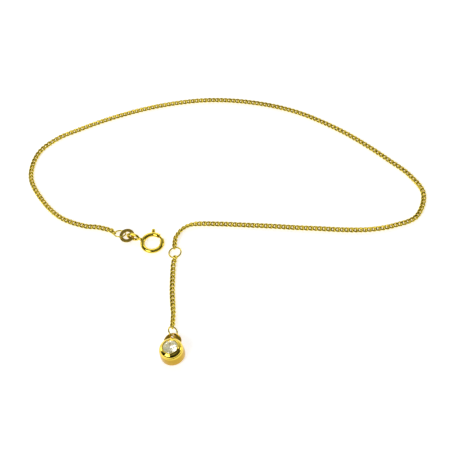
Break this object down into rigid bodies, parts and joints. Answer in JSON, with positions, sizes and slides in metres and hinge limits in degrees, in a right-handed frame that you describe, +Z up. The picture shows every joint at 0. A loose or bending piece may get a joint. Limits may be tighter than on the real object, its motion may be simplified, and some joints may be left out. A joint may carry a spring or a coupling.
{
  "type": "chain anklet",
  "caption": "Fine curb-chain anklet laid flat, closed by a spring-ring clasp at an oval link, with a short extension chain ending in a round setting with a clear stone.",
  "frame": {"origin": "middle of the whole outline on the surface that the anklet lies on", "axes": "+X along the loop's long way, towards its narrow end; +Y away from the pendant; +Z up"},
  "size_m": [0.0998, 0.0793, 0.0044],
  "materials": {
    "chain_gold": "polished yellow gold curb links",
    "ring_gold": "polished yellow gold drawn wire",
    "satin_gold": "satin yellow gold, rolled flat",
    "clasp_gold": "polished yellow gold tube",
    "setting_gold": "mirror-polished yellow gold",
    "clear_stone": "clear faceted brilliant"
  },
  "bodies": {
    "anklet": {"main_chain": "chain_gold", "extension_chain": "chain_gold", "end_jump_ring": "ring_gold", "middle_jump_ring": "ring_gold", "pendant_jump_ring": "ring_gold", "oval_link": "satin_gold", "clasp_ring": "clasp_gold", "pendant_setting": "setting_gold", "pendant_stone": "clear_stone"},
    "trigger": {"clasp_trigger": "clasp_gold"}
  },
  "joints": [
    {"name": "clasp_trigger_slide", "type": "hinge", "parent": "anklet", "child": "trigger", "pos_m": [-0.0188, -0.00565, 0.00057], "axis": [0, 0, 1], "range_deg": [0, 37], "stiffness_Nm_per_rad": 0.002, "springref_deg": -8.59}
  ]
}
